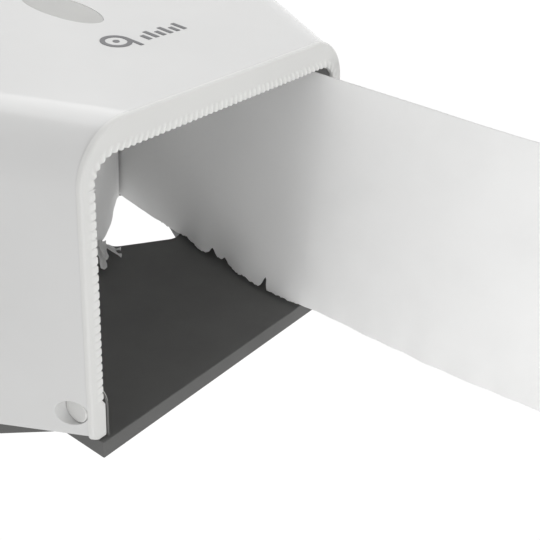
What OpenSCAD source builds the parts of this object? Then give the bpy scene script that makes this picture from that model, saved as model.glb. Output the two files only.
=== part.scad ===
// Wall-mounted dispenser for a large paper roll.
// Origin: on the wall plane, on the roll's axis. +Z is up, +Y goes into the wall, +X is to the
// right of a person who faces the dispenser. Millimetres. The cover is shown shut and unlocked.

/* [Cover] */
// Radius of the round upper part of the cover
drum_r = 126.2; // [122:0.2:134]
// Depth of the cover at the outlet, from the wall to its front face
lip_depth = 109.3; // [106:0.1:114]
// Backward lean of the front face, in degrees
front_tilt = 2.5; // [0:0.1:3.5]
// Half the outer width of the outlet
outlet_half = 59.2; // [58:0.1:62]
// Distance from the roll's axis down to the outlet lip
outlet_drop = 148.5; // [146:0.1:154]
// Wall thickness of the moulded cover
wall = 2.6; // [2:0.1:3]
// Radius of the long edge between the front face and the side walls
edge_r = 17; // [14:0.5:20]
// Distance from the wall plane to the cover's rim
rim_y = 9.3; // [8.8:0.1:10]

/* [Tear frame] */
// Distance from the wall plane to the row of teeth in front
teeth_y = 100; // [98:0.1:102]
// Half the clear width between the side rows of teeth
teeth_half = 54.9; // [54.4:0.1:55.5]
// Thickness of the serrated flange
flange_t = 1.1; // [0.8:0.1:1.2]
// Distance between neighbouring teeth of the front row
front_pitch = 2.2; // [2:0.1:4]
// Distance between neighbouring teeth of the side rows
side_pitch = 2.8; // [2:0.1:4]
// Height of one tooth
tooth_h = 0.5; // [0.3:0.1:1]

/* [Base plate] */
// Depth of the base plate, from the wall to its inner face
plate_t = 6.3; // [6:0.1:6.8]
// Thickness of the base plate's floor
floor_t = 2.6; // [2:0.1:3]
// Half the width of the base plate's lower end
foot_half = 56.7; // [56.3:0.1:58]
// Distance from the roll's axis down to the plate's lower edge
foot_drop = 150; // [149.5:0.1:156]
// Distance between the two columns of wall screws
screw_span_x = 156; // [140:1:160]
// Distance between the two rows of wall screws
screw_span_z = 140; // [130:1:150]
// Diameter of the wall screw holes
screw_hole_d = 5.5; // [4.5:0.1:6.5]

/* [Hinge] */
// Distance from the wall plane to the hinge axis
hinge_y = 17.9; // [17.5:0.1:19]
// Distance from the roll's axis down to the hinge axis
hinge_drop = 142.8; // [142:0.1:143]
// Diameter of the hinge pins
pin_d = 5; // [4:0.1:5.4]

/* [Paper] */
// Radius of the paper that is left on the roll
roll_r = 67; // [55:1:90]
// Width of the paper
paper_w = 91; // [85:0.5:92]
// Outer radius of the cardboard core
core_r = 30; // [29:0.5:32]
// Distance that the paper hangs below the outlet
tail_len = 128; // [60:1:140]

/* [Hidden] */

slip = 0.05;                 // radial clearance of a running fit
gap = 0.3;                   // clearance between bodies that pass each other
// Angle of the flared sides from the vertical: each side is a tangent from the outlet to the drum
flare = atan2(outlet_drop, outlet_half) - acos(drum_r / norm([outlet_drop, outlet_half]));

WHITE = [0.88, 0.88, 0.87];
LIP_WHITE = [0.85, 0.85, 0.83];
GREY = [0.2, 0.2, 0.19];
PAPER = [0.93, 0.93, 0.92];
SMOKE = [0.72, 0.72, 0.7, 0.7];
STEEL = [0.6, 0.6, 0.62];
BOARD = [0.6, 0.5, 0.38];
PRINT = [0.4, 0.4, 0.42];

// ---- helpers ----

// Stands a drawing of the front view up, so that it fills the depth from y1 to y2 (y1 < y2)
module slab(y1, y2) translate([0, y2, 0]) rotate([90, 0, 0]) linear_extrude(y2 - y1) children();

// A cylinder along Y from y1 to y2
module y_rod(r, y1, y2) translate([0, y2, 0]) rotate([90, 0, 0]) cylinder(h = y2 - y1, r = r, $fn = 48);

// A cylinder along X from x1 to x2
module x_rod(r, x1, x2) translate([x1, 0, 0]) rotate([0, 90, 0]) cylinder(h = x2 - x1, r = r, $fn = 48);

// Half width, at height z, of a flared side that is moved in by inset
function side_x(z, inset) = (drum_r - inset + z * sin(flare)) / cos(flare);

// Both flared sides down to height low, as one polygon
module flares(inset, low) {
    r = drum_r - inset;
    polygon([[-side_x(low, inset), low], [side_x(low, inset), low],
             [r * cos(flare), -r * sin(flare)], [-r * cos(flare), -r * sin(flare)]]);
}

module both_sides() { children(); mirror([1, 0, 0]) children(); }

// ---- cover ----

// Puts its children on the leaning front face: the face is y = 0 and the lip is z = 0 there
module on_front() translate([0, -lip_depth, -outlet_drop]) rotate([front_tilt, 0, 0]) children();

// The solid form of the cover, moved in by inset: a drum and two flares with one rounded front edge
module cover_form(inset, back_y) {
    below = 14;                                  // runs past the lip, which trims it
    ring_r = drum_r - edge_r;
    ring_z = (outlet_drop - edge_r * sin(front_tilt)) / cos(front_tilt);   // level with the roll's axis
    ball_x = (ring_r - (outlet_drop + below) * sin(flare)) / cos(flare);
    hull() {
        slab(-rim_y - 2, back_y) {
            circle(r = drum_r - inset, $fn = 128);
            flares(inset, -outlet_drop - below);
        }
        on_front() {
            translate([0, edge_r, ring_z]) rotate([90, 0, 0])
                rotate_extrude($fn = 128) translate([ring_r, 0]) circle(r = edge_r - inset, $fn = 32);
            both_sides() translate([ball_x, edge_r, -below]) sphere(r = edge_r - inset, $fn = 32);
        }
    }
}

window_z = 73.3;             // up the front face, from the lip
window_rx = 7.85;
window_rz = 17.9;
module oval(grow) {
    steps = 60;
    polygon([for (i = [0 : steps - 1]) let (a = 360 * i / steps)
        [(window_rx + grow) * cos(a), (window_rz + grow) * sin(a)]]);
}

head_r = 4.35;               // head of a hinge pin
head_t = 1.6;
head_x = 60.7;               // face of the head
pocket_r = head_r + 0.12;
boss_in = 54.2;              // inner end of a hinge boss
boss_r = 7;
lock_y = 32;                 // distance from the wall plane to the lock's axis
lock_r = 8;
lock_flange_r = 10.5;
lock_seat = drum_r - 0.7;    // height of the flat seat under the lock's flange

module at_hinge() translate([0, -hinge_y, -hinge_drop]) children();
module at_lock() translate([0, -lock_y, 0]) children();

// The cover's moulded shell, open at the back and at the outlet
module cover_shell() color(WHITE) difference() {
    cover_form(0, -rim_y);
    difference() {
        cover_form(wall, 1);
        both_sides() at_hinge() x_rod(boss_r, boss_in, drum_r);
    }
    // the outlet
    translate([-drum_r, -2 * lip_depth, -outlet_drop - 60]) cube([2 * drum_r, 3 * lip_depth, 60 + flange_t]);
    // pocket and bore of each hinge pin
    both_sides() at_hinge() {
        x_rod(pin_d / 2, boss_in - 1, head_x);
        x_rod(pocket_r, head_x - head_t, head_x + 30);
    }
    // window
    on_front() translate([0, 0, window_z]) slab(-2, wall + 2) oval(0.05);
    // seat and hole of the lock
    at_lock() translate([0, 0, drum_r - 12]) cylinder(h = 20, r = lock_r, $fn = 48);
    at_lock() translate([0, 0, lock_seat]) cylinder(h = 5, r = lock_flange_r + 0.1, $fn = 48);
}

// Points of a row of teeth from p to q; the teeth point to the right of the way they run
function teeth(p, q, pitch) = let (n = max(1, round(norm(q - p) / pitch)), d = (q - p) / n,
                                   out = [d[1], -d[0]] / norm(d) * tooth_h)
    [for (i = [0 : n - 1]) each [p + i * d, p + (i + 0.2) * d + out, p + (i + 0.8) * d + out]];

teeth_r = 8;                 // radius of the opening's front corners
block_y = 21.2;              // where the side rows of teeth end
block_in = 53.7;             // inner face of the plain end blocks, which stand out past the rim
block_ease = 2;              // length over which the opening narrows to the blocks
block_end = plate_t + 2 * gap;
block_r = 2.6;               // radius of a block's outer corner
block_chamfer = 0.8;         // on a block's inner corner
block_bevel = 0.9;           // on a block's lower end edge, which swings past the plate
// One side of the serrated opening, from the middle of the front to the end block
function half_opening() = let (cx = teeth_half - teeth_r, cy = -teeth_y + teeth_r, n = 5,
                               c = [for (i = [0 : n]) let (a = 90 * i / n)
                                    [cx + teeth_r * sin(a), cy - teeth_r * cos(a)]])
    concat(teeth([0, -teeth_y], c[0], front_pitch),
           [for (i = [0 : n - 1]) each teeth(c[i], c[i + 1], front_pitch)],
           teeth(c[n], [teeth_half, -block_y], side_pitch),
           [[teeth_half, -block_y], [block_in, -block_y + block_ease],
            [block_in, -block_end - block_chamfer], [block_in + block_chamfer, -block_end],
            [block_in + block_chamfer, 1], [0, 1]]);

// Right half of the lip's outer outline
module half_lip() {
    side = outlet_half;
    translate([0, -lip_depth]) square([side - edge_r, lip_depth - block_end - block_r]);
    translate([0, -lip_depth + edge_r]) square([side, lip_depth - edge_r - block_end - block_r]);
    translate([side - edge_r, -lip_depth + edge_r]) circle(r = edge_r, $fn = 64);
    translate([side - block_r, -block_end - block_r]) circle(r = block_r, $fn = 32);
    translate([block_in, -block_y]) square([side - block_in - block_r, block_y - block_end]);
}

// Serrated U-shaped frame that caps the outlet; the paper is torn against it
module tear_frame() color(LIP_WHITE) {
    rib_t = 1.3;             // the upstands that locate the frame inside the shell
    rib_h = 6;
    corner_clear = 12;       // the side upstands end this far from the front row of teeth
    boss_clear = 28;         // and this far from the wall plane, clear of the hinge bosses
    front_rib_y = lip_depth - wall - 1.5;
    front_rib_end = 14;      // the front upstand ends this far from the side rows
    bevel_cut = block_bevel * sqrt(2);
    both_sides() translate([0, 0, -outlet_drop]) {
        difference() {
            linear_extrude(flange_t) difference() { half_lip(); polygon(half_opening()); }
            translate([(block_in + outlet_half) / 2, -block_end, 0]) rotate([45, 0, 0])
                cube([outlet_half - block_in + 2, bevel_cut, bevel_cut], center = true);
        }
        translate([teeth_half + gap, -teeth_y + corner_clear, 0])
            cube([rib_t, teeth_y - corner_clear - boss_clear, rib_h]);
        translate([0, -front_rib_y, 0]) cube([teeth_half - front_rib_end, rib_t, rib_h]);
    }
}

// Smoke-grey sight glass: an oval boss that fills the window and a flange behind the wall
module window_lens() color(SMOKE) on_front() translate([0, 0, window_z]) {
    slab(0.1, wall + 0.1) oval(0);
    slab(wall + 0.1, wall + 1.4) oval(2.5);
}

mark_t = 0.12;
// Plain printed sign: a paper roll with a loose end, and a row of short bars
module printed_mark() color(PRINT) on_front() translate([-7.6, 0, 40]) slab(-mark_t, 0) {
    difference() { circle(r = 5, $fn = 48); circle(r = 3.4, $fn = 48); }
    circle(r = 1.1, $fn = 32);
    translate([3.6, -7]) square([1.4, 7]);
    for (i = [0 : 5]) translate([9.1 + 3.2 * i, -5]) square([1.6, 4 + 2 * (i % 2)]);
}

// One hinge pin, pressed into the cover's boss; side is 1 for the right pin and -1 for the left
module hinge_pin(side) mirror([side < 0 ? 1 : 0, 0, 0]) at_hinge() {
    x_rod(pin_d / 2, lug_in - 0.9, head_x - head_t);
    x_rod(head_r, head_x - head_t, head_x);
}
module hinge_pin_left() color(LIP_WHITE) hinge_pin(-1);
module hinge_pin_right() color(LIP_WHITE) hinge_pin(1);

// ---- lock ----

barrel_r = 5.6;
barrel_top = lock_seat + 2.2;
barrel_low = drum_r - 14;
tang_r = 3;
cam_t = 2;
cam_top = barrel_low;
finger_r = 16;               // distance from the lock's axis to the finger of the cam

module lock_housing() color(STEEL) at_lock() difference() {
    union() {
        translate([0, 0, barrel_low + 1]) cylinder(h = lock_seat - barrel_low - 1, r = lock_r, $fn = 48);
        translate([0, 0, lock_seat]) cylinder(h = 2, r = lock_flange_r, $fn = 48);
    }
    translate([0, 0, barrel_low - 5]) cylinder(h = 30, r = barrel_r + slip, $fn = 48);
}

module lock_nut() color(STEEL) at_lock() translate([0, 0, drum_r - wall - 4.6]) difference() {
    cylinder(h = 3.6, r = 12, $fn = 6);
    translate([0, 0, -1]) cylinder(h = 6, r = lock_r, $fn = 48);
}

module lock_barrel() color(STEEL) at_lock() difference() {
    union() {
        translate([0, 0, barrel_low]) cylinder(h = barrel_top - barrel_low, r = barrel_r, $fn = 48);
        translate([0, 0, barrel_low - cam_t]) cylinder(h = cam_t + 1, r = tang_r, $fn = 48);
    }
    // key slot and screw hole
    translate([-0.8, -3.6, barrel_top - 7]) cube([1.6, 7.2, 8]);
    translate([0, 0, barrel_low - cam_t - 1]) cylinder(h = 8, r = 1.5, $fn = 32);
}

// The cam lies along +X when the lock is open, and turns its finger behind the catch to lock
module lock_cam() color(STEEL) at_lock() difference() {
    translate([0, 0, cam_top - cam_t]) union() {
        cylinder(h = cam_t, r = 5.5, $fn = 48);
        translate([0, -4, 0]) cube([finger_r, 8, cam_t]);
        translate([finger_r - 1.5, -4, -5]) cube([3, 8, 5 + cam_t]);
    }
    translate([0, 0, cam_top - cam_t - 1]) cylinder(h = cam_t + 2, r = tang_r, $fn = 48);
}

module cam_screw() color(STEEL) at_lock() translate([0, 0, barrel_low - cam_t]) {
    translate([0, 0, -1.8]) cylinder(h = 1.8, r = 4.2, $fn = 48);
    cylinder(h = 5, r = 1.5, $fn = 32);
}

// ---- base plate ----

lug_in = 52.6;               // inner face of a hinge lug
lug_out = 53.5;
lug_r = 5.8;
bush_r = 3.6;
bush_flange_r = 4.6;
plate_inset = 3;             // the plate's outline stays this far inside the cover's
skirt_t = 2.4;
pad_r = 34;                  // solid centre of the plate, behind the hub
hub_r = 27;
hub_t = 4;
hub_pcd = 42;
hub_holes = 4;
screw_r = 1.6;               // self-tapping screws
catch_top = cam_top - cam_t - 7;
catch_screw_x = 9;
relief_t = 0.7;              // depth of the reliefs that the end blocks swing through
relief_z = 3.9;              // half the height of a relief, which is centred on the hinge axis

// The plate's outline, moved in by inset
module plate_outline(inset) {
    r = drum_r - plate_inset - inset;
    step = 18.5;             // height of the straight foot
    corner_z = (foot_half - step + foot_drop - side_x(0, plate_inset)) / (tan(flare) - 1);
    half = foot_half - inset;
    knee = side_x(corner_z, plate_inset + inset);
    circle(r = r, $fn = 128);
    polygon([for (s = [1, -1]) each let (p = [
        [half, -foot_drop + inset], [half, -foot_drop + step],
        [knee, corner_z], [r * cos(flare), -r * sin(flare)]])
        [for (i = s > 0 ? [0 : 3] : [3 : -1 : 0]) [s * p[i][0], p[i][1]]]]);
}

// One see-through cut-out beside the roll, square to the flared side, with rounded corners
module cut_out(grow) {
    c = 6;                   // corner radius
    long = 55;
    wide = 33;
    translate([25, -65.5]) rotate(-flare) {
        translate([-grow, c - grow]) square([wide + 2 * grow, long - 2 * c + 2 * grow]);
        translate([c - grow, -grow]) square([wide - 2 * c + 2 * grow, long + 2 * grow]);
        for (x = [c, wide - c], z = [c, long - c]) translate([x, z]) circle(r = c + grow, $fn = 32);
    }
}

module at_wall_screws() for (x = [-1, 1], z = [-1, 1])
    translate([x * screw_span_x / 2, 0, z * screw_span_z / 2]) children();
module at_hub_screws() for (i = [0 : hub_holes - 1]) rotate([0, 360 * (i + 0.5) / hub_holes, 0])
    translate([hub_pcd / 2, 0, 0]) children();
module at_catch_screws() for (x = [-1, 1]) translate([x * catch_screw_x, 0, catch_top - 10]) children();

// Moulded tray that is screwed to the wall, with two hinge lugs
module base_plate() color(GREY) difference() {
    union() {
        slab(-plate_t, -plate_t + floor_t) plate_outline(0);
        slab(-plate_t, 0) difference() { plate_outline(0); plate_outline(skirt_t); }
        y_rod(pad_r, -plate_t, 0);
        at_wall_screws() y_rod(9, -plate_t, 0);
        both_sides() slab(-plate_t, 0) cut_out(skirt_t);
        translate([-18, -plate_t, catch_top - 18]) cube([36, plate_t, 18]);
        // stiffening ribs behind the floor
        for (x = [-40, -20, 0, 20, 40]) translate([x - 1, -plate_t, -foot_drop + 1]) cube([2, plate_t, 64]);
        for (z = [-130, -110]) translate([-foot_half + 1, -plate_t, z]) cube([2 * foot_half - 2, plate_t, 2]);
        translate([-105, -plate_t, -1]) cube([210, plate_t, 2]);
        for (x = [-60, 60]) translate([x - 1, -plate_t, 0]) cube([2, plate_t, 95]);
        both_sides() at_hinge() x_rod(lug_r, lug_in, lug_out);
        both_sides() translate([lug_in, -hinge_y, -hinge_drop - lug_r])
            cube([lug_out - lug_in, hinge_y - plate_t + 1, 2 * lug_r]);
    }
    both_sides() slab(-plate_t - 1, 1) cut_out(0);
    at_wall_screws() y_rod(screw_hole_d / 2, -plate_t - 1, 1);
    at_wall_screws() y_rod(5.5, -plate_t - 1, -plate_t + 2.4);
    at_hub_screws() y_rod(screw_r, -plate_t - 1, -1);
    at_catch_screws() y_rod(screw_r, -plate_t - 1, -1);
    both_sides() at_hinge() x_rod(bush_r, lug_in - 1, lug_out + 1);
    // shallow reliefs for the end blocks
    both_sides() translate([lug_out + 0.1, -plate_t - 1, -hinge_drop - relief_z])
        cube([foot_half - lug_out + 1, 1 + relief_t, 2 * relief_z]);
}

module hinge_bush(side) mirror([side < 0 ? 1 : 0, 0, 0]) at_hinge() difference() {
    union() {
        x_rod(bush_r, lug_in, lug_out);
        x_rod(bush_flange_r, lug_in - 0.8, lug_in);
    }
    x_rod(pin_d / 2 + slip, lug_in - 2, lug_out + 1);
}
module hinge_bush_left() color(LIP_WHITE) hinge_bush(-1);
module hinge_bush_right() color(LIP_WHITE) hinge_bush(1);

// ---- spindle ----

post_r = 10;
post_end = 96;               // distance from the wall plane to the post's free end
post_wall = 2.6;

module hub_flange() color(GREY) difference() {
    union() {
        y_rod(hub_r, -plate_t - hub_t, -plate_t);
        y_rod(post_r + 4, -plate_t - hub_t - 5, -plate_t);
    }
    y_rod(post_r, -post_end, -plate_t - 1.5);
    at_hub_screws() y_rod(1.9, -plate_t - hub_t - 1, 1);
}

module hub_screws() color(STEEL) at_hub_screws() {
    y_rod(3.4, -plate_t - hub_t - 2, -plate_t - hub_t);
    y_rod(screw_r, -plate_t - hub_t, -2);
}

module spindle_post() color(GREY) difference() {
    y_rod(post_r, -post_end, -plate_t - 1.5);
    y_rod(post_r - post_wall, -post_end + 10, -plate_t - 1);
    y_rod(2.2, -post_end - 1, -plate_t - 1);
}

module post_washer() color(STEEL) difference() {
    y_rod(14, -post_end - 1.5, -post_end);
    y_rod(2.6, -post_end - 2, -post_end + 1);
}

module post_screw() color(STEEL) union() {
    y_rod(5, -post_end - 4.7, -post_end - 1.5);
    y_rod(2.2, -post_end - 1.5, -post_end + 9);
}

// Angle bracket that the cam's finger hooks behind
module catch_plate() color(STEEL) difference() {
    front = lock_y - 11;
    union() {
        translate([-14, -plate_t - 1.5, catch_top - 16]) cube([28, 1.5, 16]);
        translate([-6, -front, catch_top - 1.5]) cube([12, front - plate_t, 1.5]);
        translate([-6, -front, catch_top - 1.5]) cube([12, 1.5, 6]);
    }
    at_catch_screws() y_rod(1.9, -plate_t - 3, 0);
}

module catch_screws() color(STEEL) at_catch_screws() {
    y_rod(3.2, -plate_t - 3.3, -plate_t - 1.5);
    y_rod(screw_r, -plate_t - 1.5, -2);
}

// ---- paper ----

paper_y2 = -plate_t - 3 * gap;   // the paper's edge nearest the wall
paper_y1 = paper_y2 - paper_w;
adapter_r = 13;
ring_t = 3;

// Spool that turns on the post
module core_adapter() color(GREY) difference() {
    y_rod(adapter_r, -post_end + 1.2, -plate_t - hub_t - 6);
    y_rod(post_r + slip, -post_end - 1, 0);
}

// Two pierced rings that carry the core on the spool
module adapter_rings() color(GREY) for (y = [-24, -88]) translate([0, y, 0]) difference() {
    y_rod(core_r - 1.5, 0, ring_t);
    y_rod(adapter_r, -1, ring_t + 1);
    for (a = [0 : 60 : 300]) rotate([0, a, 0]) translate([(core_r - 1.5 + adapter_r) / 2, 0, 0])
        y_rod(4.6, -1, ring_t + 1);
}

module core_tube() color(BOARD) difference() {
    y_rod(core_r, paper_y1, paper_y2);
    y_rod(core_r - 1.5, paper_y1 - 1, paper_y2 + 1);
}

module paper_roll() color(PAPER) difference() {
    translate([0, paper_y2, 0]) rotate([90, 0, 0]) cylinder(h = paper_w, r = roll_r, $fn = 96);
    y_rod(core_r + 0.05, paper_y1 - 1, paper_y2 + 1);
}

// Torn scraps of the outermost turn, at the roll's edge nearest the wall; they pass beside the web
module torn_paper() color(PAPER) {
    scrap_t = web_torn - gap;
    for (a = [-78, -66]) rotate([0, -a, 0]) translate([roll_r - 0.3, paper_y2 - scrap_t, 0])
        rotate([0, 6, 0]) cube([9, scrap_t, 7]);
}

web_t = 0.8;
web_x = 46.2;                // the paper hangs this far to the right of the middle
web_gap = 0.4;               // between the web and the roll
web_torn = 1.4;              // inside the cover, the web's edge nearest the wall is torn back this far
lean = 12.4;                 // angle at which the paper leaves the roll, from the vertical
leave = [(roll_r + web_gap) * cos(lean), -(roll_r + web_gap) * sin(lean)];
// Sideways place of the hanging paper at a depth d below the outlet: straight, then it curls out
function tail_x(d) = web_x + 0.00125 * pow(max(0, d - 50), 2);
// Path of the paper from the roll to the outlet: a straight lean that eases into the vertical
function web_pt(s) = let (z = leave[1] + s * (-outlet_drop - leave[1]),
                          straight = leave[0] + (z - leave[1]) * tan(lean), soft = 5)
    [web_x + soft * ln(1 + exp((straight - web_x) / soft)), z];

module ribbon(path, y2) slab(paper_y1, y2)
    polygon(concat(path, [for (i = [len(path) - 1 : -1 : 0]) path[i] + [web_t, 0]]));

// Paper between the roll and the outlet
module paper_web() color(PAPER) ribbon([for (i = [0 : 16]) web_pt(i / 16)], paper_y2 - web_torn);

// Paper that hangs out of the outlet
module paper_tail() color(PAPER) ribbon([for (i = [0 : 16]) let (d = tail_len * i / 16)
    [tail_x(d), -outlet_drop - d]], paper_y2);

base_plate();
hub_flange();
hub_screws();
spindle_post();
post_washer();
post_screw();
hinge_bush_left();
hinge_bush_right();
catch_plate();
catch_screws();
paper_web();
paper_tail();
cover_shell();
tear_frame();
window_lens();
printed_mark();
hinge_pin_left();
hinge_pin_right();
lock_housing();
lock_nut();
lock_barrel();
lock_cam();
cam_screw();
core_adapter();
adapter_rings();
core_tube();
paper_roll();
torn_paper();
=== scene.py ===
"""Looks of a wall-mounted paper roll dispenser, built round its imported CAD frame.

Metres in Blender, +Z up, the wall at y = 0. Sizes below are in millimetres."""
import math

import bmesh
import bpy
from mathutils import Matrix, Vector, noise


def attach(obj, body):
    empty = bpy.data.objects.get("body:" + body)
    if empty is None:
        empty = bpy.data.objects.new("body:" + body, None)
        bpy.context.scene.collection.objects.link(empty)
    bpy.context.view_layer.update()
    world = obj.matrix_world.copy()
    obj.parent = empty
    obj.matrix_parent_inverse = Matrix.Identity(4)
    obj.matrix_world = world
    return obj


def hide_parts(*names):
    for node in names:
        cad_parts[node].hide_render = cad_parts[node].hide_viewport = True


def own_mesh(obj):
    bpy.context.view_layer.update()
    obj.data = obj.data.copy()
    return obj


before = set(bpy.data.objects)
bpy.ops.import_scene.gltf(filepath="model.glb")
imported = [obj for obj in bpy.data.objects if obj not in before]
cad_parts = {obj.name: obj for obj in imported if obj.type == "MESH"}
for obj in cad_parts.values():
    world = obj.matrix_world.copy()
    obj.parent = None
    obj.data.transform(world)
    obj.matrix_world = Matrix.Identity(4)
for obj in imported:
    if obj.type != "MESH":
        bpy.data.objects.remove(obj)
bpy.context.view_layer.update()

MM = 0.001

# ---- driving dimensions, in millimetres, as in the CAD source ----
DRUM_R = 126.2
LIP_DEPTH = 109.3
FRONT_TILT = math.radians(2.5)
OUTLET_HALF = 59.2
OUTLET_DROP = 148.5
WALL = 2.6
EDGE_R = 17.0
RIM_Y = 9.3
TEETH_Y = 100.0
TEETH_HALF = 54.9
TEETH_R = 8.0
FRONT_PITCH = 2.23
SIDE_PITCH = 2.795
BLOCK_Y = 21.2
BLOCK_IN = 53.7
BLOCK_END = 6.9
BLOCK_R = 3.2
BLOCK_CHAMFER = 0.8
BLOCK_BEVEL = 0.5
BLOCK_EASE = 2.0
HINGE_Y = 17.9
HINGE_DROP = 142.8
PIN_R = 2.5
PIN_X = 51.7
POCKET_R = 4.47
POCKET_X = 59.1
ROLL_R = 67.0
PAPER_Y2 = -7.2
PAPER_W = 91.0
WEB_X = 46.2
WEB_GAP = 0.4
LEAN = math.radians(12.4)
TAIL_LEN = 130.0
LOCK_Y = 32.0
# lean of the side walls, which are tangents from the outlet to the drum
FLARE = math.atan2(OUTLET_DROP, OUTLET_HALF) - math.acos(DRUM_R / math.hypot(OUTLET_DROP, OUTLET_HALF))
# lower end of the shell, hidden behind the edge of the serrated frame
SHELL_LOW = -OUTLET_DROP + 0.95


# ---- camera ----
def make_camera():
    """The camera below the left front of the dispenser, looking up into the outlet."""
    forward = Vector((0.69229, 0.52612, 0.49389)).normalized()
    up = Vector((0.38366, -0.84803, 0.36559)).normalized()
    right = forward.cross(up).normalized()
    up = right.cross(forward)
    place = Matrix((right, up, -forward)).transposed().to_4x4()
    place.translation = Vector((-0.20088, -0.20319, -0.31036))
    data = bpy.data.cameras.new("camera")
    data.sensor_width = 36.0
    data.lens = 61.58
    data.clip_start = 0.01
    ob = bpy.data.objects.new("camera", data)
    ob.matrix_world = place
    bpy.context.scene.collection.objects.link(ob)
    bpy.context.scene.camera = ob


# ---- materials ----
def new_material(name):
    mat = bpy.data.materials.new(name)
    mat.use_nodes = True
    return mat, mat.node_tree.nodes, mat.node_tree.links


def ramp(nodes, links, fac, colours, place=(0.3, 0.7)):
    node = nodes.new("ShaderNodeValToRGB")
    for i, colour in enumerate(colours):
        node.color_ramp.elements[i].position = place[i]
        node.color_ramp.elements[i].color = (*colour, 1.0)
    links.new(fac, node.inputs["Fac"])
    return node.outputs["Color"]


def noise_node(nodes, links, vector, scale, detail=4.0, rough=0.55):
    node = nodes.new("ShaderNodeTexNoise")
    node.inputs["Scale"].default_value = scale
    node.inputs["Detail"].default_value = detail
    node.inputs["Roughness"].default_value = rough
    links.new(vector, node.inputs["Vector"])
    return node.outputs["Fac"]


def bump_chain(nodes, links, heights):
    """Joins (height socket, strength, distance in mm) triples into one chain of bumps."""
    normal = None
    for height, strength, distance in heights:
        node = nodes.new("ShaderNodeBump")
        node.inputs["Strength"].default_value = strength
        node.inputs["Distance"].default_value = distance * MM
        links.new(height, node.inputs["Height"])
        if normal:
            links.new(normal, node.inputs["Normal"])
        normal = node.outputs["Normal"]
    return normal


def moulded(name, dark, light, rough=(0.3, 0.4), grain=900.0, grain_mm=0.01, coat=0.0, specular=0.5, sss=0.0):
    """Moulded plastic: faint colour drift, fine grain and slow waviness."""
    mat, nodes, links = new_material(name)
    shader = nodes["Principled BSDF"]
    coords = nodes.new("ShaderNodeTexCoord").outputs["Object"]
    drift = noise_node(nodes, links, coords, 22.0, 3.0)
    links.new(ramp(nodes, links, drift, (dark, light)), shader.inputs["Base Color"])
    smear = noise_node(nodes, links, coords, 60.0, 5.0, 0.65)
    links.new(ramp(nodes, links, smear, [(r, r, r) for r in rough]), shader.inputs["Roughness"])
    fine = noise_node(nodes, links, coords, grain, 2.0)
    slow = noise_node(nodes, links, coords, 14.0, 1.0)
    links.new(bump_chain(nodes, links, [(slow, 0.35, 0.6), (fine, 0.5, grain_mm)]), shader.inputs["Normal"])
    shader.inputs["Specular IOR Level"].default_value = specular
    shader.inputs["Coat Weight"].default_value = coat
    shader.inputs["Coat Roughness"].default_value = 0.12
    if sss:
        shader.inputs["Subsurface Weight"].default_value = sss
        shader.inputs["Subsurface Radius"].default_value = (1.0, 0.95, 0.9)
        shader.inputs["Subsurface Scale"].default_value = 1.5 * MM
    return mat


def metal(name, dark, light, rough=(0.25, 0.4), stretch=(1.0, 1.0, 30.0)):
    """Plated metal with faint brushed scratches."""
    mat, nodes, links = new_material(name)
    shader = nodes["Principled BSDF"]
    coords = nodes.new("ShaderNodeTexCoord").outputs["Object"]
    turn = nodes.new("ShaderNodeMapping")
    turn.inputs["Scale"].default_value = stretch
    links.new(coords, turn.inputs["Vector"])
    brush = noise_node(nodes, links, turn.outputs["Vector"], 160.0, 6.0, 0.7)
    links.new(ramp(nodes, links, brush, (dark, light)), shader.inputs["Base Color"])
    links.new(ramp(nodes, links, brush, [(r, r, r) for r in rough]), shader.inputs["Roughness"])
    links.new(bump_chain(nodes, links, [(brush, 0.25, 0.02)]), shader.inputs["Normal"])
    shader.inputs["Metallic"].default_value = 1.0
    return mat


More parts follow.
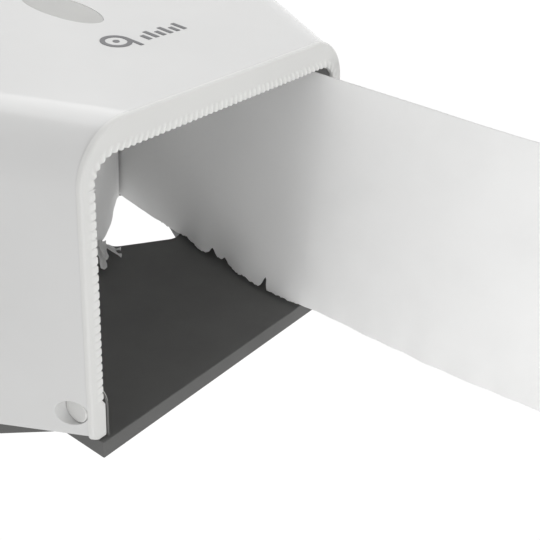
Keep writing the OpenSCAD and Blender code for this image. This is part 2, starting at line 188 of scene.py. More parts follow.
def tissue(name, dark, light, ring_mm=0.0, through=0.0):
    """Soft creped tissue: fine fibres, a crepe across the web and, on a roll, the wound layers.

    through is the share of the light that passes each face of a thin sheet."""
    mat, nodes, links = new_material(name)
    shader = nodes["Principled BSDF"]
    coords = nodes.new("ShaderNodeTexCoord").outputs["Object"]
    cloud = noise_node(nodes, links, coords, 45.0, 5.0, 0.6)
    links.new(ramp(nodes, links, cloud, (dark, light)), shader.inputs["Base Color"])
    crepe_map = nodes.new("ShaderNodeMapping")
    crepe_map.inputs["Scale"].default_value = (1.0, 0.22, 1.0)
    links.new(coords, crepe_map.inputs["Vector"])
    crepe = noise_node(nodes, links, crepe_map.outputs["Vector"], 1500.0, 3.0, 0.6)
    fibre = noise_node(nodes, links, coords, 700.0, 6.0, 0.75)
    puffs = noise_node(nodes, links, coords, 150.0, 2.0, 0.5)
    heights = [(puffs, 0.3, 0.25), (crepe, 0.5, 0.06), (fibre, 0.5, 0.05)]
    if ring_mm:
        split = nodes.new("ShaderNodeSeparateXYZ")
        links.new(coords, split.inputs["Vector"])
        flat = nodes.new("ShaderNodeCombineXYZ")
        links.new(split.outputs["X"], flat.inputs["X"])
        links.new(split.outputs["Z"], flat.inputs["Z"])
        length = nodes.new("ShaderNodeVectorMath")
        length.operation = "LENGTH"
        links.new(flat.outputs["Vector"], length.inputs[0])
        rings = nodes.new("ShaderNodeTexNoise")
        rings.noise_dimensions = "1D"
        rings.inputs["Scale"].default_value = 1.0 / (ring_mm * MM)
        links.new(length.outputs["Value"], rings.inputs["W"])
        heights.append((rings.outputs["Fac"], 0.6, 0.35))
    relief = bump_chain(nodes, links, heights)
    links.new(relief, shader.inputs["Normal"])
    shader.inputs["Roughness"].default_value = 0.95
    shader.inputs["Specular IOR Level"].default_value = 0.15
    shader.inputs["Sheen Weight"].default_value = 0.1
    if through:
        glow = nodes.new("ShaderNodeBsdfTranslucent")
        links.new(shader.inputs["Base Color"].links[0].from_socket, glow.inputs["Color"])
        mix = nodes.new("ShaderNodeMixShader")
        mix.inputs["Fac"].default_value = through
        links.new(shader.outputs["BSDF"], mix.inputs[1])
        links.new(glow.outputs["BSDF"], mix.inputs[2])
        links.new(mix.outputs["Shader"], nodes["Material Output"].inputs["Surface"])
    return mat


MATERIALS = {
    "cover_white": moulded("cover_abs", (0.585, 0.585, 0.58), (0.605, 0.605, 0.6), (0.24, 0.26), 900, 0.0005,
                           coat=0.12, specular=0.4, sss=0.1),
    "lip_white": moulded("lip_abs", (0.6, 0.6, 0.587), (0.62, 0.62, 0.607), (0.4, 0.48), 1200, 0.008,
                         specular=0.35, sss=0.1),
    "base_grey": moulded("grey_abs", (0.08, 0.08, 0.078), (0.095, 0.095, 0.092), (0.42, 0.55), 2200, 0.03,
                         specular=0.6),
    "smoke_window": moulded("smoke_acrylic", (0.38, 0.38, 0.367), (0.425, 0.425, 0.41), (0.12, 0.2), 900,
                            0.003, coat=0.5, sss=0.3),
    "print_grey": moulded("ink", (0.1, 0.1, 0.105), (0.13, 0.13, 0.135), (0.4, 0.5), 3000, 0.01),
    "bush_plastic": moulded("acetal", (0.6, 0.6, 0.57), (0.66, 0.66, 0.63), (0.3, 0.4), 1500, 0.01),
    "steel": metal("zinc_steel", (0.4, 0.4, 0.41), (0.55, 0.55, 0.56)),
    "lock_metal": metal("lock_chrome", (0.55, 0.55, 0.56), (0.68, 0.68, 0.69), (0.12, 0.25)),
    "cardboard": moulded("wound_board", (0.3, 0.22, 0.14), (0.42, 0.32, 0.22), (0.8, 0.9), 1800, 0.08,
                         specular=0.2),
    "paper": tissue("tissue", (0.93, 0.93, 0.925), (0.96, 0.96, 0.955), through=0.3),
    "wound": tissue("wound_tissue", (0.86, 0.86, 0.855), (0.9, 0.9, 0.895), ring_mm=0.5),
}


def paint_crest_highlight(mat, z_from, z_to, colour):
    """Paints a highlight: lightens a finish toward colour between two heights in mm, so that the crests of
    the ribs read lighter, as if lit.
    """
    nodes, links = mat.node_tree.nodes, mat.node_tree.links
    base = nodes["Principled BSDF"].inputs["Base Color"]
    split = nodes.new("ShaderNodeSeparateXYZ")
    links.new(nodes.new("ShaderNodeTexCoord").outputs["Object"], split.inputs["Vector"])
    height = nodes.new("ShaderNodeMapRange")
    height.inputs["From Min"].default_value = z_from * MM
    height.inputs["From Max"].default_value = z_to * MM
    links.new(split.outputs["Z"], height.inputs["Value"])
    mix = nodes.new("ShaderNodeMix")
    mix.data_type = "RGBA"
    links.new(height.outputs["Result"], mix.inputs[0])
    links.new(base.links[0].from_socket, mix.inputs[6])
    mix.inputs[7].default_value = (*colour, 1.0)
    links.new(mix.outputs[2], base)


# painted highlight: the crests of the lip's ribs are lightened toward a paler colour, standing in for light
# falling on them
paint_crest_highlight(MATERIALS["lip_white"], -OUTLET_DROP - 0.05, -OUTLET_DROP - 0.45, (0.7, 0.7, 0.685))


# ---- mesh helpers ----
def mesh_from(name, verts_mm, faces):
    mesh = bpy.data.meshes.new(name)
    mesh.from_pydata([Vector(v) * MM for v in verts_mm], [], faces)
    mesh.validate()
    bm = bmesh.new()
    bm.from_mesh(mesh)
    bmesh.ops.recalc_face_normals(bm, faces=bm.faces)
    bm.to_mesh(mesh)
    bm.free()
    return mesh


def new_object(name, verts_mm, faces):
    """An object in the scene; one that only cuts or joins another is removed again by cut()."""
    ob = bpy.data.objects.new(name, mesh_from(name, verts_mm, faces))
    bpy.context.scene.collection.objects.link(ob)
    return ob


def bake_modifiers(ob):
    bpy.context.view_layer.update()
    graph = bpy.context.evaluated_depsgraph_get()
    mesh = bpy.data.meshes.new_from_object(ob.evaluated_get(graph))
    ob.modifiers.clear()
    ob.data = mesh


def weld(ob, gap=1e-7, flat=0.0):
    """Joins vertices closer than gap metres, merges faces within flat degrees and turns faces outwards."""
    bm = bmesh.new()
    bm.from_mesh(ob.data)
    bmesh.ops.remove_doubles(bm, verts=bm.verts, dist=gap)
    if flat:
        bmesh.ops.dissolve_limit(bm, angle_limit=math.radians(flat), verts=bm.verts, edges=bm.edges)
    bmesh.ops.recalc_face_normals(bm, faces=bm.faces)
    bm.to_mesh(ob.data)
    bm.free()


def cut(ob, tools, operation="DIFFERENCE"):
    """Cuts each tool out of the object, or joins it on, and removes the tool."""
    for tool in tools:
        mod = ob.modifiers.new("cut", "BOOLEAN")
        mod.operation = operation
        mod.solver = "EXACT"
        mod.object = tool
        bake_modifiers(ob)
        bpy.data.objects.remove(tool)


def soften(ob, width_mm, segments=2, angle=35.0):
    """Rounds the sharp edges and gives flat faces flat normals."""
    mod = ob.modifiers.new("bevel", "BEVEL")
    mod.width = width_mm * MM
    mod.segments = segments
    mod.limit_method = "ANGLE"
    mod.angle_limit = math.radians(angle)
    mod.use_clamp_overlap = False
    bake_modifiers(ob)
    smooth(ob)


def smooth(ob):
    ob.data.shade_smooth()
    mod = ob.modifiers.new("normals", "WEIGHTED_NORMAL")
    mod.weight = 60
    bake_modifiers(ob)


def dress(ob, body, slot, replaced=(), look=None):
    """Rides the piece on its body, names its finish and hides the CAD nodes it stands for."""
    ob.data.materials.clear()
    ob.data.materials.append(MATERIALS[look or slot])
    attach(ob, body)
    if replaced:
        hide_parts(*replaced)
    return ob


def rounded(points, radius, steps=3):
    """Rounds each corner of a closed profile by radius, or less on a short side."""
    out = []
    for i, p in enumerate(points):
        a, b, c = Vector(points[i - 1]), Vector(p), Vector(points[(i + 1) % len(points)])
        r = min(radius, 0.45 * (a - b).length, 0.45 * (c - b).length)
        if b.x < 1e-6 or r < 1e-6:
            out.append(tuple(b))
            continue
        p1, p2 = b + (a - b).normalized() * r, b + (c - b).normalized() * r
        for k in range(steps + 1):
            t = k / steps
            out.append(tuple(p1 * (1 - t) ** 2 + b * 2 * t * (1 - t) + p2 * t ** 2))
    return out


def lathe(profile, centre, axis, steps=64, angles=None, side=None):
    """Vertices and faces of a closed (radius, height) profile turned about an axis through centre.

    The rings are evenly spread, or at the given angles from the given side."""
    axis = Vector(axis).normalized()
    side = Vector(side) if side else axis.orthogonal().normalized()
    other = axis.cross(side)
    angles = angles or [2 * math.pi * i / steps for i in range(steps)]
    verts, faces = [], []
    for a in angles:
        out = side * math.cos(a) + other * math.sin(a)
        verts += [Vector(centre) + out * r + axis * h for r, h in profile]
    n = len(profile)
    for i in range(len(angles)):
        j = (i + 1) % len(angles)
        for k in range(n):
            m = (k + 1) % n
            quad = [i * n + k, i * n + m, j * n + m, j * n + k]
            if profile[k][0] < 1e-6:
                quad = [i * n + k, i * n + m, j * n + m]
            if profile[m][0] < 1e-6:
                quad = [i * n + k, i * n + m, j * n + k]
            if profile[k][0] < 1e-6 and profile[m][0] < 1e-6:
                continue
            faces.append(quad)
    return verts, faces


def turned(name, profile, centre, axis, radius=0.3, steps=64):
    """A lathe-turned object with rounded corners."""
    verts, faces = lathe(rounded(profile, radius), centre, axis, steps)
    ob = new_object(name, verts, faces)
    weld(ob)
    smooth(ob)
    return ob


def rod(name, r, centre, axis, length, steps=96):
    """A round rod that cuts a hole, from centre along axis."""
    verts, faces = lathe([(0, 0), (r, 0), (r, length), (0, length)], centre, axis, steps)
    ob = new_object(name, verts, faces)
    weld(ob)
    return ob


def refined(node, name, width_mm, slot, body, merge=True):
    """A CAD node's own shape with its edges rounded."""
    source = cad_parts[node]
    ob = bpy.data.objects.new(name, source.data.copy())
    bpy.context.scene.collection.objects.link(ob)
    weld(ob, 2e-6, 0.6 if merge else 0.0)
    soften(ob, width_mm)
    return dress(ob, body, slot, [node])


# ---- cover ----
def side_x(z, inset):
    """Half the width of the cover between its flared walls at height z."""
    return (DRUM_R - inset + z * math.sin(FLARE)) / math.cos(FLARE)


def lean_y(y, z):
    """Depth of a point once the front leans back: the rim stays, the front face moves in full."""
    full = LIP_DEPTH - EDGE_R
    share = min(1.0, max(0.0, (-y - 10.0) / (full - 10.0)))
    return y - share * math.tan(FRONT_TILT) * (z + OUTLET_DROP)


def outline_points(inset, arc_steps=160):
    """The cover's outline from the lower right end, over the drum, to the lower left end."""
    pts = [(side_x(SHELL_LOW, inset), SHELL_LOW)]
    for i in range(arc_steps + 1):
        a = -FLARE + (math.pi + 2 * FLARE) * i / arc_steps
        pts.append(((DRUM_R - inset) * math.cos(a), (DRUM_R - inset) * math.sin(a)))
    pts.append((-side_x(SHELL_LOW, inset), SHELL_LOW))
    return pts


def cover_rows():
    """(inset, depth) rows of the shell: outside from the rim to the front ring, then inside back again."""
    # the rim's outer edge has a rounding of 0.7 mm
    rim = [(0.7, -RIM_Y), (0.35, -RIM_Y - 0.09), (0.09, -RIM_Y - 0.35), (0.0, -RIM_Y - 0.7)]
    steps = 14
    outer = [(EDGE_R * (1 - math.cos(a)), -LIP_DEPTH + EDGE_R * (1 - math.sin(a)))
             for a in (math.pi / 2 * i / steps for i in range(steps + 1))]
    r = EDGE_R - WALL
    inner = [(EDGE_R - r * math.cos(a), -LIP_DEPTH + EDGE_R - r * math.sin(a))
             for a in (math.pi / 2 * i / steps for i in range(steps, -1, -1))]
    return [(WALL, -RIM_Y)] + rim + outer, inner


def cover_body():
    """The drum and its flared sides as one thick skin, open at the wall and at the outlet."""
    outer, inner = cover_rows()
    rows = outer + inner
    columns = len(outline_points(0))
    verts = []
    for inset, y in rows:
        verts += [(x, lean_y(y, z), z) for x, z in outline_points(inset)]
    at = lambda row, col: row * columns + col
    faces = []
    n = len(rows)
    for row in range(n):
        after = (row + 1) % n
        if row == len(outer) - 1:
            continue
        for col in range(columns - 1):
            faces.append((at(row, col), at(row, col + 1), at(after, col + 1), at(after, col)))
    last = columns - 1
    ring_out, ring_in = len(outer) - 1, len(outer)
    faces.append([at(ring_out, c) for c in range(columns)])
    faces.append([at(ring_in, c) for c in range(columns)][::-1])
    right = [at(r, 0) for r in range(len(outer))]
    left = [at(r, last) for r in range(len(outer))]
    right_in = [at(r, 0) for r in range(len(outer), n)]
    left_in = [at(r, last) for r in range(len(outer), n)]
    faces.append(right + left[::-1] + left_in[::-1] + right_in)
    return new_object("cover_skin", verts, faces)


def hinge_boss(side):
    """Boss behind the flared wall that holds a hinge pin."""
    steps, boss_r, boss_in = 72, 7.0, 54.2
    verts, faces = [], []
    for i in range(steps):
        a = 2 * math.pi * i / steps
        y = -HINGE_Y + boss_r * math.cos(a)
        z = max(SHELL_LOW + 0.05, -HINGE_DROP + boss_r * math.sin(a))
        verts += [(side * boss_in, y, z), (side * side_x(z, 1.2), y, z)]
    for i in range(steps):
        j = (i + 1) % steps
        faces.append((2 * i, 2 * j, 2 * j + 1, 2 * i + 1))
    faces.append([2 * i for i in range(steps)])
    faces.append([2 * i + 1 for i in range(steps)][::-1])
    return new_object("boss", verts, faces)


def on_front(x, out, up):
    """A point on the leaning front face: x across, out of the face, up from the lip."""
    s, c = math.sin(FRONT_TILT), math.cos(FRONT_TILT)
    return (x, -LIP_DEPTH - out * c - up * s, -OUTLET_DROP + up * c - out * s)


# centre of the oval window above the lip, and its half axes
WINDOW_UP = 73.3
WINDOW_RX = 7.85
WINDOW_RZ = 17.9


def oval_rings(grow_and_out, steps=96):
    """Vertices and faces of stacked oval rings on the front face, closed at both ends."""
    verts, faces = [], []
    for grow, out in grow_and_out:
        for i in range(steps):
            a = 2 * math.pi * i / steps
            x, up = (WINDOW_RX + grow) * math.cos(a), (WINDOW_RZ + grow) * math.sin(a)
            verts.append(on_front(x, out, WINDOW_UP + up))
    for k in range(len(grow_and_out) - 1):
        for i in range(steps):
            j = (i + 1) % steps
            faces.append((k * steps + i, k * steps + j, (k + 1) * steps + j, (k + 1) * steps + i))
    faces.append(list(range(steps)))
    faces.append([(len(grow_and_out) - 1) * steps + i for i in range(steps)][::-1])
    return verts, faces


def make_cover():
    ob = cover_body()
    cut(ob, [hinge_boss(1), hinge_boss(-1)], "UNION")
    tools = []
    for side in (1, -1):
        axis = (side, 0, 0)
        tools.append(rod("bore", PIN_R, (side * 50, -HINGE_Y, -HINGE_DROP), axis, 12))
        tools.append(rod("pocket", POCKET_R, (side * POCKET_X, -HINGE_Y, -HINGE_DROP), axis, 30))
    tools.append(rod("lock_hole", 8.05, (0, -LOCK_Y, 110), (0, 0, 1), 30))
    tools.append(rod("lock_seat", 10.65, (0, -LOCK_Y, DRUM_R - 0.7), (0, 0, 1), 10))
    verts, faces = oval_rings([(0.06, 5), (0.06, -8)])
    tools.append(new_object("window_hole", verts, faces))
    cut(ob, tools)
    soften(ob, 0.15)
    return dress(ob, "cover", "cover_white", ["cover_shell"])


def make_window():
    verts, faces = oval_rings([(2.4, -WALL - 1.3), (2.4, -WALL - 0.15), (0.0, -WALL - 0.12), (0.0, -0.25),
                               (-0.03, -0.12), (-0.2, -0.05), (-3.0, 0.0), (-5.5, 0.02)])
    ob = new_object("sight_glass", verts, faces)
    smooth(ob)
    return dress(ob, "cover", "smoke_window", ["window_lens"])


# ---- serrated frame ----
def nicked(way):
    """Side rows: broad round lobes with narrow nicks between them, from 0 to 1."""
    return 1.0 - (0.5 + 0.5 * math.cos(2 * math.pi * (way - 0.2) / SIDE_PITCH)) ** 7


def ribbed(x):
    """Front row: even ribs, from 0 to 1."""
    return 0.5 + 0.5 * math.cos(2 * math.pi * (x + 0.2) / FRONT_PITCH)


def corner_dip(d, r):
    """How far a round corner of radius r falls back at a distance d from its end."""
    return r - math.sqrt(r ** 2 - max(0.0, r - d) ** 2)


def half_columns(side):
    """Columns of the U from one end block to the middle of the front; side is 1 right and -1 left.

    Each is (outer point, inner point, tooth wave 0 to 1, share of the side's flare, rise of the end)."""
    cols = []
    length = BLOCK_Y - BLOCK_END
    block_steps, corner_steps = 60, 90
    side_step, front_step = 0.2, 0.18
    for i in range(block_steps + 1):
        d = length * (i / block_steps) ** 1.5
        out_x = OUTLET_HALF - corner_dip(d, BLOCK_R)
        widen = min(1.0, max(0.0, (d - length + BLOCK_EASE) / BLOCK_EASE))
        in_x = BLOCK_IN + corner_dip(d, BLOCK_CHAMFER) + (TEETH_HALF - BLOCK_IN) * widen
        y = -BLOCK_END - d
        cols.append(((out_x, y), (in_x, y), 0.0, 1.0, corner_dip(d, BLOCK_BEVEL)))
    run = LIP_DEPTH - EDGE_R - BLOCK_Y
    for i in range(1, int(run / side_step)):
        way = side_step * i
        y = -BLOCK_Y - way
        cols.append(((OUTLET_HALF, y), (TEETH_HALF, y), nicked(way), 1.0, 0.0))
    half = TEETH_HALF - TEETH_R
    for i in range(corner_steps):
        a = math.pi / 2 * i / corner_steps
        outer = (OUTLET_HALF - EDGE_R + EDGE_R * math.cos(a), -LIP_DEPTH + EDGE_R - EDGE_R * math.sin(a))
        inner = (TEETH_HALF - TEETH_R + TEETH_R * math.cos(a), -TEETH_Y + TEETH_R - TEETH_R * math.sin(a))
        wave = ribbed(side * (half + TEETH_R * (math.pi / 2 - a)))
        cols.append((outer, inner, wave, math.cos(a), 0.0))
    front_steps = int(half / front_step)
    for i in range(front_steps + 1):
        share = 1 - i / front_steps
        outer = ((OUTLET_HALF - EDGE_R) * share, -LIP_DEPTH)
        cols.append((outer, (half * share, -TEETH_Y), ribbed(side * half * share), 0.0, 0.0))
    return [((side * o[0], o[1]), (side * i[0], i[1]), *more) for o, i, *more in cols]


def make_lip():
    """U-shaped serrated frame: a smooth flange whose inner edge is a row of rounded ribs."""
    edge_r, nose = 0.7, 0.5      # roundings of the outer edge and of the ribs' ends
    rib_len, tooth = 3.2, 0.4
    front_drop, side_drop = 0.45, 0.22
    low = -OUTLET_DROP
    skirt = 1.35                 # the frame's edge covers the shell's lower end
    top = low + skirt
    skin = -0.02                 # it stands out by a hair, so that the two skins don't share a face
    verts, faces = [], []
    cols = half_columns(1) + half_columns(-1)[-2::-1]
    for outer, inner, wave, flare, rise in cols:
        o, i = Vector(outer), Vector(inner)
        width = (i - o).length
        inward = (i - o) / width
        start = width - min(rib_len, width - 1.7)
        # the front edge is almost straight, and the ribs stand out less along the sides
        tip = width + tooth * wave * (0.4 + 0.6 * flare)
        drop = (front_drop - (front_drop - side_drop) * flare) * wave
        slope = math.tan(FLARE) * flare
        row = [(0.4 - slope * skirt, top), (skin - slope * skirt, top),
               (skin - slope * (skirt - 0.03), top - 0.03)]
        for k in range(6):
            a = math.pi / 2 * k / 5
            up = edge_r * (1 - math.sin(a))
            row.append((skin + edge_r * (1 - math.cos(a)) - slope * up, low + up))
        row.append(((edge_r + start) / 2, low))
        for k in range(9):
            t = k / 8
            ramp_up = min(1.0, t / 0.5)
            fall = drop * ramp_up ** 2 * (3 - 2 * ramp_up)
            row.append((start + (tip - nose - start) * t, low - fall))
        for k in range(1, 6):
            a = math.pi / 2 * k / 5
            row.append((tip - nose + nose * math.sin(a), low - drop + nose * (1 - math.cos(a))))
        row += [(tip, low + 1.0), (tip - 0.3, low + 1.5), (width - 1.6, low + 1.5)]
        if rise:
            row = [(s, max(z, low + rise)) for s, z in row]
        verts += [(o.x + inward.x * s, o.y + inward.y * s, z) for s, z in row]
    n = len(row)
    for c in range(len(cols) - 1):
        for k in range(n):
            m = (k + 1) % n
            faces.append((c * n + k, c * n + m, (c + 1) * n + m, (c + 1) * n + k))
    faces.append(list(range(n)))
    faces.append([(len(cols) - 1) * n + k for k in range(n)][::-1])
    ob = new_object("serrated_lip", verts, faces)
    ob.data.shade_smooth()
    mod = ob.modifiers.new("normals", "WEIGHTED_NORMAL")
    mod.weight = 20
    bake_modifiers(ob)
    return dress(ob, "cover", "lip_white", ["tear_frame"])


# ---- paper ----
def web_x(z):
    """Sideways place of the web: a lean off the roll that eases into the hanging line, then a slow curl."""
    soft = 5.0
    curl_from, curl = 50.0, 0.00125
    leave_x = (ROLL_R + WEB_GAP) * math.cos(LEAN)
    leave_z = -(ROLL_R + WEB_GAP) * math.sin(LEAN)
    straight = leave_x + (z - leave_z) * math.tan(LEAN)
    x = WEB_X + soft * math.log(1 + math.exp((straight - WEB_X) / soft))
    below = max(0.0, -OUTLET_DROP - curl_from - z)
    return x + curl * below ** 2


def web_path(z_from, z_to, step=1.2):
    """Points of the web's centre line; above the tangent point it wraps the roll."""
    pts = []
    leave_z = -(ROLL_R + WEB_GAP) * math.sin(LEAN)
    if z_from > leave_z:
        r = ROLL_R + WEB_GAP
        wrap, steps = math.radians(38), 34
        for i in range(steps):
            a = -LEAN + wrap * (1 - i / steps)
            pts.append((r * math.cos(a), r * math.sin(a)))
        z_from = leave_z
    n = int((z_from - z_to) / step)
    heights = [z_from + (z_to - z_from) * i / n for i in range(n + 1)]
    return pts + [(web_x(z), z) for z in heights]


# bites out of the edge nearest the wall: height, depth and half height
TEARS = ((-85.5, 1.3, 2.0), (-102.3, 3.0, 1.6), (-109.5, 2.0, 1.6), (-122.0, 1.0, 2.0), (-133.0, 4.4, 1.0))


def ragged(z):
    """How far the edge nearest the wall is torn back at height z: a few bites and a fine fringe."""
    inside = min(1.0, max(0.0, (z + 153.0) / 8.0)) * min(1.0, max(0.0, (-58.0 - z) / 10.0))
    bites = sum(depth * math.exp(-((z - at) / half) ** 2) for at, depth, half in TEARS)
    fringe = 0.5 * noise.noise(Vector((z * 0.45, 7.7, 0.0))) + 0.5 * noise.noise(Vector((z * 1.3, 1.7, 0.0)))
    return inside * (0.3 + bites + fringe)


def edge_curl(z):
    """How far the loose torn edge bends toward the middle of the outlet at height z, in millimetres."""
    near_lip = math.exp(-((z + 132.0) / 19.0) ** 4)
    higher = math.exp(-((z + 96.0) / 6.0) ** 2)
    hanging = min(1.0, max(0.0, (-z - 140.0) / 12.0))
    return 3.6 * near_lip + 1.5 * higher + 0.6 * hanging + 0.5 * noise.noise(Vector((z * 0.12, 9.0, 0.0)))


def web_ripple(y, z):
    """Small bulges of the loose tissue, in millimetres."""
    p = Vector((0.0, y * 0.022, z * 0.014))
    q = Vector((5.0, y * 0.075, z * 0.02))
    return 0.9 * noise.noise(p) + 0.3 * noise.noise(q)


def web_points():
    """The paper from the roll to its lower end: path points, a grid of places and the row at the outlet."""
    inside = web_path(20.0, -OUTLET_DROP, 0.5)
    path = inside + web_path(-OUTLET_DROP, -OUTLET_DROP - TAIL_LEN, 1.2)[1:]
    shares = [0.012 * j for j in range(14)] + [0.156 + 0.844 * j / 44 for j in range(45)]
    leave_z = -(ROLL_R + WEB_GAP) * math.sin(LEAN)
    grid = []
    for k, (x, z) in enumerate(path):
        a, b = Vector(path[max(0, k - 1)]), Vector(path[min(len(path) - 1, k + 1)])
        along = (b - a).normalized()
        out = Vector((-along.y, along.x))
        if out.x < 0:
            out = -out
        free = min(1.0, max(0.0, (leave_z - z) / 40.0))
        row = []
        for share in shares:
            w = PAPER_W * share
            y = min(PAPER_Y2, PAPER_Y2 - w - ragged(z) * max(0.0, 1 - w / 14.0))
            bulge = free * (web_ripple(y, z) - edge_curl(z) * math.exp(-((PAPER_Y2 - y) / 8.0) ** 1.5))
            row.append(Vector((x + out.x * bulge, y, z + out.y * bulge)))
        grid.append(row)
    return path, grid, len(inside) - 1


def ply(name, grid, normals, thickness=0.22):
    """A thin solid sheet on a grid of points, with the given normals, so that two can meet unseen."""
    rows, columns = len(grid), len(grid[0])
    verts, wanted = [], []
    for side in (1, -1):
        for k in range(rows):
            for j in range(columns):
                verts.append(grid[k][j] + normals[k][j] * side * thickness / 2)
                wanted.append(normals[k][j] * side)
    at = lambda side, k, j: (side * rows + k) * columns + j
    faces = []
    for side in (0, 1):
        for k in range(rows - 1):
            for j in range(columns - 1):
                quad = [at(side, k, j), at(side, k, j + 1), at(side, k + 1, j + 1), at(side, k + 1, j)]
                faces.append(quad if side else quad[::-1])
    border = [(0, j) for j in range(columns)]
    border += [(k, columns - 1) for k in range(1, rows)]
    border += [(rows - 1, j) for j in range(columns - 2, -1, -1)]
    border += [(k, 0) for k in range(rows - 2, 0, -1)]
    for a, b in zip(border, border[1:] + border[:1]):
        faces.append((at(0, *a), at(0, *b), at(1, *b), at(1, *a)))
    ob = new_object(name, verts, faces)
    ob.data.shade_smooth()
    ob.data.normals_split_custom_set_from_vertices([tuple(n) for n in wanted])
    return ob


def grid_normals(grid):
    """One outward normal per grid point."""
    rows, columns = len(grid), len(grid[0])
    out = []
    for k in range(rows):
        row = []
        for j in range(columns):
            down = grid[min(rows - 1, k + 1)][j] - grid[max(0, k - 1)][j]
            across = grid[k][min(columns - 1, j + 1)] - grid[k][max(0, j - 1)]
            n = down.cross(across).normalized()
            row.append(n if n.x > 0 else -n)
        out.append(row)
    return out


def make_paper():
    path, grid, split = web_points()
    normals = grid_normals(grid)
    web = ply("paper_band", grid[:split + 1], normals[:split + 1])
    dress(web, "base", "paper", ["paper_web"])
    tail = ply("paper_end", grid[split:], normals[split:])
    dress(tail, "base", "paper", ["paper_tail"])
    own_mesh(tail)


def roll_bump(angle):
    """How far the loose outer turns stand out, in millimetres at an angle in degrees.

    They sag a little low down, then swell and step out to the web."""
    swell_from, step_from, step_to, leave, swell = -46.0, -34.0, -32.2, -math.degrees(LEAN), 2.9
    if not swell_from < angle < leave:
        return 0.7 * max(0.0, 1 - ((angle + 68.0) / 9.0) ** 2)
    if angle < step_from:
        return swell * ((angle - swell_from) / (step_from - swell_from)) ** 1.6
    web = max(0.0, (ROLL_R + WEB_GAP) / math.cos(math.radians(angle) + LEAN) - ROLL_R - 0.35)
    t = min(1.0, (angle - step_from) / (step_to - step_from))
    return swell + (web - swell) * t


def make_roll():
    r_in, r_out = 30.1, ROLL_R - 0.4
    y1, y2 = PAPER_Y2 - PAPER_W, PAPER_Y2
    soft_depth = 6.0             # how deep the loose outer turns reach into the roll
    layers = []
    for k in range(61):
        step = 0.18 * noise.noise(Vector((k * 0.9, 0, 0)))
        layers.append((r_in + (r_out - r_in) * k / 60, step))
    profile = [(r, y2 + d - 0.2) for r, d in layers]
    profile += [(r, y1 + d + 0.2) for r, d in layers[::-1]]
    # rings every 1.5 degrees, and closer where the loose turns step out
    coarse = [-180 + 1.5 * i for i in range(240)]
    fine = [-41 + 0.2 * i for i in range(55)]
    rings = sorted([d for d in coarse if not -41 < d < -30] + fine)
    angles = [-math.radians(d) for d in rings]
    verts, faces = lathe(profile, (0, 0, 0), (0, 1, 0), angles=angles, side=(1, 0, 0))
    ob = new_object("tissue_roll", verts, faces)
    for v in ob.data.vertices:
        x, y, z = v.co
        r = math.hypot(x, z)
        depth = min(1.0, max(0.0, (r / MM - r_out + soft_depth) / soft_depth))
        bump = roll_bump(math.degrees(math.atan2(z, x))) - 0.3 * abs(noise.noise(v.co * 45.0))
        grow = 1 + MM / r * depth * bump
        v.co.x, v.co.z = x * grow, z * grow
    smooth(ob)
    dress(ob, "roll", "paper", ["paper_roll"], look="wound")


def make_scraps():
    """Torn bits that hang from the lower edge of the roll near the wall."""
    # root and tip seen from the front, half width at the root and at the tip, depth from the wall
    bits = (((23.5, -67.3), (24.9, -74.1), 0.7, 0.15, 8.6), ((23.4, -67.9), (22.2, -77.4), 1.0, 0.2, 8.3),
            ((23.6, -64.4), (15.6, -75.0), 1.9, 0.9, 9.2), ((23.4, -62.4), (10.2, -80.2), 1.5, 1.2, 8.9))
    verts, faces = [], []
    n, m = 16, 6
    for seed, (root, tip, wide, thin, deep) in enumerate(bits):
        a, b = Vector(root), Vector(tip)
        along = b - a
        side = Vector((along.y, -along.x)).normalized()
        base = len(verts)
        for i in range(n + 1):
            s = i / n
            for j in range(m + 1):
                t = 2 * j / m - 1
                half = (wide + (thin - wide) * s) * (1 + 0.35 * noise.noise(Vector((s * 5, seed * 3.3, t))))
                sway = 0.9 * s * noise.noise(Vector((s * 2.2, seed * 1.7, 4.0)))
                p = a + along * s + side * (half * t + sway)
                y = -deep - 1.6 * s * noise.noise(Vector((s * 2.5, t * 0.8, seed))) - 0.5 * t * t
                verts.append((p.x, min(y, PAPER_Y2 - 0.3), p.y))
        for i in range(n):
            for j in range(m):
                p = base + i * (m + 1) + j
                faces.append((p, p + 1, p + m + 2, p + m + 1))
    ob = new_object("torn_bits", verts, faces)
    mod = ob.modifiers.new("ply", "SOLIDIFY")
    mod.thickness = 0.25 * MM
    mod.offset = 0.0
    bake_modifiers(ob)
    ob.data.shade_smooth()
    dress(ob, "roll", "paper", ["torn_paper"])


# ---- small hardware ----
def make_pins():
    """Hinge pins with flat heads, and the bushes in the plate's lugs that they turn in."""
    centre = (0, -HINGE_Y, -HINGE_DROP)
    head_r, head_x = 4.3, 60.7
    pin = [(0, PIN_X), (PIN_R, PIN_X), (PIN_R, POCKET_X), (head_r, POCKET_X), (head_r, head_x), (0, head_x)]
    bore, collar, sleeve = PIN_R + 0.05, 4.6, 3.6
    bush = [(bore, 51.8), (collar, 51.8), (collar, 52.6), (sleeve, 52.6), (sleeve, 53.5), (bore, 53.5)]
    for side, name in ((-1, "left"), (1, "right")):
        ob = turned("pivot_" + name, pin, centre, (side, 0, 0), 0.25)
        dress(ob, "cover", "lip_white", ["hinge_pin_" + name])
        ob = turned("bush_" + name, bush, centre, (side, 0, 0), 0.15)
        dress(ob, "base", "bush_plastic", ["hinge_bush_" + name])


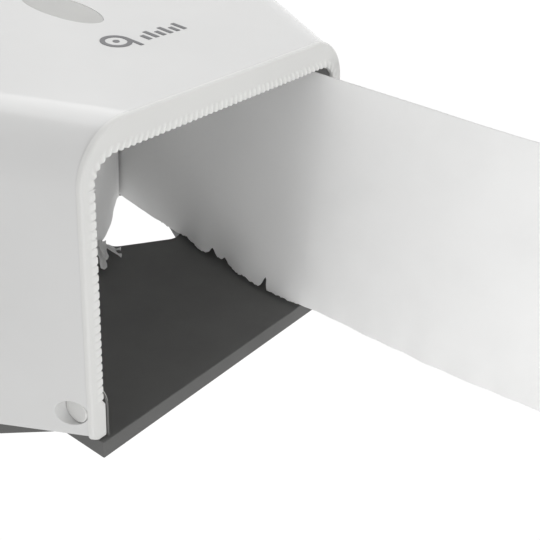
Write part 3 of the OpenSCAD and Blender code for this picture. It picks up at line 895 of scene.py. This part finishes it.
def refine_rest():
    """CAD nodes whose shape is right: the same shape with rounded edges and its own finish."""
    rest = [("base_plate", "back_tray", 0.35, "base_grey", "base"),
            ("hub_flange", "hub", 0.3, "base_grey", "base"),
            ("hub_screws", "hub_fasteners", 0.2, "steel", "base"),
            ("spindle_post", "post", 0.3, "base_grey", "base"),
            ("post_washer", "washer", 0.2, "steel", "base"),
            ("post_screw", "post_fastener", 0.3, "steel", "base"),
            ("catch_plate", "catch", 0.2, "steel", "base"),
            ("catch_screws", "catch_fasteners", 0.2, "steel", "base"),
            ("lock_housing", "lock_body", 0.3, "lock_metal", "cover"),
            ("lock_nut", "lock_hex", 0.3, "steel", "cover"),
            ("lock_barrel", "lock_plug", 0.2, "lock_metal", "lock"),
            ("lock_cam", "lock_arm", 0.25, "steel", "lock"),
            ("cam_screw", "lock_fastener", 0.25, "steel", "lock"),
            ("core_adapter", "spool", 0.3, "base_grey", "roll"),
            ("adapter_rings", "spool_rings", 0.3, "base_grey", "roll"),
            ("core_tube", "board_core", 0.2, "cardboard", "roll"),
            ("printed_mark", "ink_mark", 0.02, "print_grey", "cover")]
    for node, name, width, slot, body in rest:
        refined(node, name, width, slot, body, merge=node != "base_plate")


# ---- stage ----
def soft_light(name, place, target, size, power):
    """A square soft box at place that faces target."""
    data = bpy.data.lights.new(name, "AREA")
    data.size = size
    data.energy = power
    ob = bpy.data.objects.new(name, data)
    aim = (Vector(target) - Vector(place)).normalized()
    ob.matrix_world = Matrix.Translation(place) @ aim.to_track_quat("-Z", "Y").to_matrix().to_4x4()
    ob.visible_camera = False
    bpy.context.scene.collection.objects.link(ob)


def make_stage():
    """A plain pale floor, a white backdrop behind the dispenser and three soft boxes."""
    half, drop = 6000, 620
    corners = [(-half, -half, -drop), (half, -half, -drop), (half, half, -drop), (-half, half, -drop)]
    floor = new_object("floor", corners, [(0, 1, 2, 3)])
    mat, nodes, links = new_material("floor_paint")
    coords = nodes.new("ShaderNodeTexCoord").outputs["Object"]
    cloud = noise_node(nodes, links, coords, 3.0)
    shader = nodes["Principled BSDF"]
    links.new(ramp(nodes, links, cloud, ((0.78, 0.78, 0.78), (0.8, 0.8, 0.8))), shader.inputs["Base Color"])
    shader.inputs["Roughness"].default_value = 0.9
    floor.data.materials.append(mat)
    world = bpy.data.worlds.new("studio")
    bpy.context.scene.world = world
    world.use_nodes = True
    nodes, links = world.node_tree.nodes, world.node_tree.links
    # a white backdrop up and to the right behind the dispenser, and a softer grey all round
    facing = nodes.new("ShaderNodeVectorMath")
    facing.operation = "DOT_PRODUCT"
    facing.inputs[1].default_value = (0.692, 0.526, 0.494)
    links.new(nodes.new("ShaderNodeTexCoord").outputs["Generated"], facing.inputs[0])
    shade = ramp(nodes, links, facing.outputs["Value"], ((0.74, 0.74, 0.74), (1.0, 1.0, 1.0)), (0.72, 0.88))
    links.new(shade, nodes["Background"].inputs["Color"])
    nodes["Background"].inputs["Strength"].default_value = 1.03
    soft_light("front_light", (0.45, -1.25, 0.4), (0, 0, 0), 1.2, 9.8)
    soft_light("low_light", (-0.26, 0.08, -0.60), (0.02, -0.06, -0.12), 0.4, 1.75)
    soft_light("right_light", (0.45, -0.30, -0.60), (0.05, -0.06, -0.15), 0.4, 1.4)
    bpy.context.scene.view_settings.view_transform = "Standard"


make_camera()
make_cover()
make_window()
make_lip()
make_paper()
make_roll()
make_scraps()
make_pins()
refine_rest()
make_stage()
